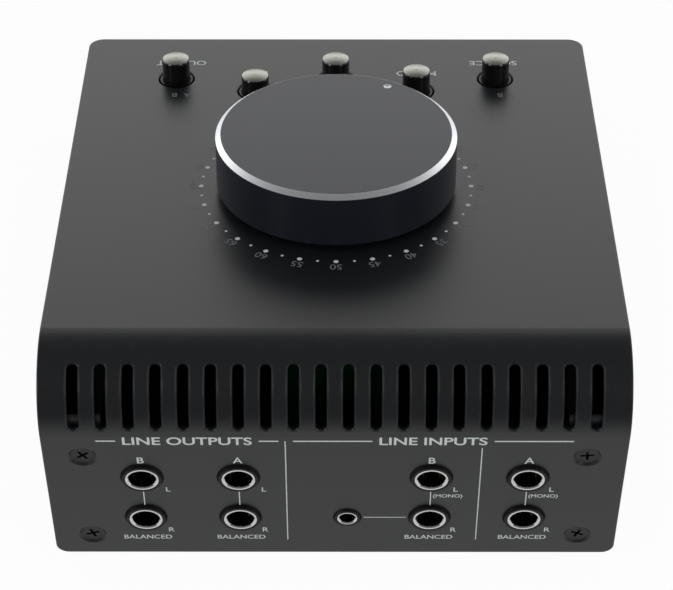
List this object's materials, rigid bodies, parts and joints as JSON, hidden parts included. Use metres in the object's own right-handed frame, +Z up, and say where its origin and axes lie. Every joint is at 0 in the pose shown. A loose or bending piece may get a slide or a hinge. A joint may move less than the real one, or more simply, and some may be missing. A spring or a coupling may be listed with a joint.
{
  "type": "studio monitor controller",
  "caption": "Desktop studio monitor controller: sloping steel case with a large volume knob, latching push buttons, and phone and mini sockets at the back.",
  "frame": {"origin": "on the surface it stands on, under the middle of the whole", "axes": "+X to the right when facing the sockets, +Y away from the sockets towards the user, +Z up"},
  "size_m": [0.134, 0.1509, 0.0713],
  "materials": {
    "powder_coat": "fine matte powder coat on steel",
    "zinc_plate": "zinc-plated steel",
    "black_screw": "black oxide",
    "rubber_foot": "moulded rubber",
    "black_anodised": "black anodised, polished bevel",
    "brass_bush": "machined",
    "polished_aluminium": "polished",
    "black_moulding": "moulded",
    "phenolic_disc": "printed track on phenolic",
    "bright_steel": "bright",
    "circuit_board": "green solder mask",
    "chrome_sleeve": "nickel plated",
    "contact_metal": "tinned spring bronze",
    "grey_ribbon": "soft vinyl",
    "gloss_cap": "gloss black",
    "bright_disc": "satin chrome",
    "white_acetal": "moulded acetal"
  },
  "bodies": {
    "chassis": {"base_tray": "powder_coat", "board_screws": "zinc_plate", "control_board": "circuit_board", "cover_hooks": "zinc_plate", "cover_screws": "black_screw", "foot_front_left": "rubber_foot", "foot_front_right": "rubber_foot", "foot_rear_left": "rubber_foot", "foot_rear_right": "rubber_foot", "foot_screws": "zinc_plate", "jack_board": "circuit_board", "jack_contacts": "contact_metal", "jack_sleeves": "chrome_sleeve", "jack_standoffs": "zinc_plate", "line_jack_1": "black_moulding", "line_jack_2": "black_moulding", "line_jack_3": "black_moulding", "line_jack_4": "black_moulding", "line_jack_5": "black_moulding", "line_jack_6": "black_moulding", "line_jack_7": "black_moulding", "line_jack_8": "black_moulding", "mini_jack": "black_moulding", "mini_jack_riser": "black_moulding", "mini_jack_sleeve": "chrome_sleeve", "panel_standoffs": "zinc_plate", "pot_body": "black_moulding", "pot_bushing": "brass_bush", "pot_element": "phenolic_disc", "pot_nut": "zinc_plate", "pot_washer": "zinc_plate", "return_springs": "bright_steel", "ribbon_cable": "grey_ribbon", "ribbon_headers": "black_moulding", "switch_1": "black_moulding", "switch_2": "black_moulding", "switch_3": "black_moulding", "switch_4": "black_moulding", "switch_5": "black_moulding", "top_cover": "powder_coat"},
    "volume_knob": {"knob_shell": "black_anodised", "knob_hub": "brass_bush", "knob_pointer": "polished_aluminium", "grub_screw": "black_screw", "pot_shaft": "bright_steel"},
    "push_button_1": {"button_cap_1": "gloss_cap", "button_disc_1": "bright_disc", "plunger_1": "white_acetal"},
    "push_button_2": {"button_cap_2": "gloss_cap", "button_disc_2": "bright_disc", "plunger_2": "white_acetal"},
    "push_button_3": {"button_cap_3": "gloss_cap", "button_disc_3": "bright_disc", "plunger_3": "white_acetal"},
    "push_button_4": {"button_cap_4": "gloss_cap", "button_disc_4": "bright_disc", "plunger_4": "white_acetal"},
    "push_button_5": {"button_cap_5": "gloss_cap", "button_disc_5": "bright_disc", "plunger_5": "white_acetal"}
  },
  "joints": [
    {"name": "volume", "type": "hinge", "parent": "chassis", "child": "volume_knob", "pos_m": [0.0002, 0.00305, 0.04889], "axis": [0, -0.2605, -0.9655], "range_deg": [0, 300]},
    {"name": "button_1", "type": "slide", "parent": "chassis", "child": "push_button_1", "axis": [0, 0.2605, 0.9655], "range_m": [-0.00235, 0], "stiffness_N_per_m": 600, "springref_m": 0.0005, "deforming": ["return_springs"]},
    {"name": "button_2", "type": "slide", "parent": "chassis", "child": "push_button_2", "axis": [0, 0.2605, 0.9655], "range_m": [-0.0009, 0.00145], "stiffness_N_per_m": 600, "deforming": ["return_springs"]},
    {"name": "button_3", "type": "slide", "parent": "chassis", "child": "push_button_3", "axis": [0, 0.2605, 0.9655], "range_m": [-0.00235, 0], "stiffness_N_per_m": 600, "springref_m": 0.0005, "deforming": ["return_springs"]},
    {"name": "button_4", "type": "slide", "parent": "chassis", "child": "push_button_4", "axis": [0, 0.2605, 0.9655], "range_m": [-0.00235, 0], "stiffness_N_per_m": 600, "springref_m": 0.0005, "deforming": ["return_springs"]},
    {"name": "button_5", "type": "slide", "parent": "chassis", "child": "push_button_5", "axis": [0, 0.2605, 0.9655], "range_m": [-0.00235, 0], "stiffness_N_per_m": 600, "springref_m": 0.0005, "deforming": ["return_springs"]}
  ]
}
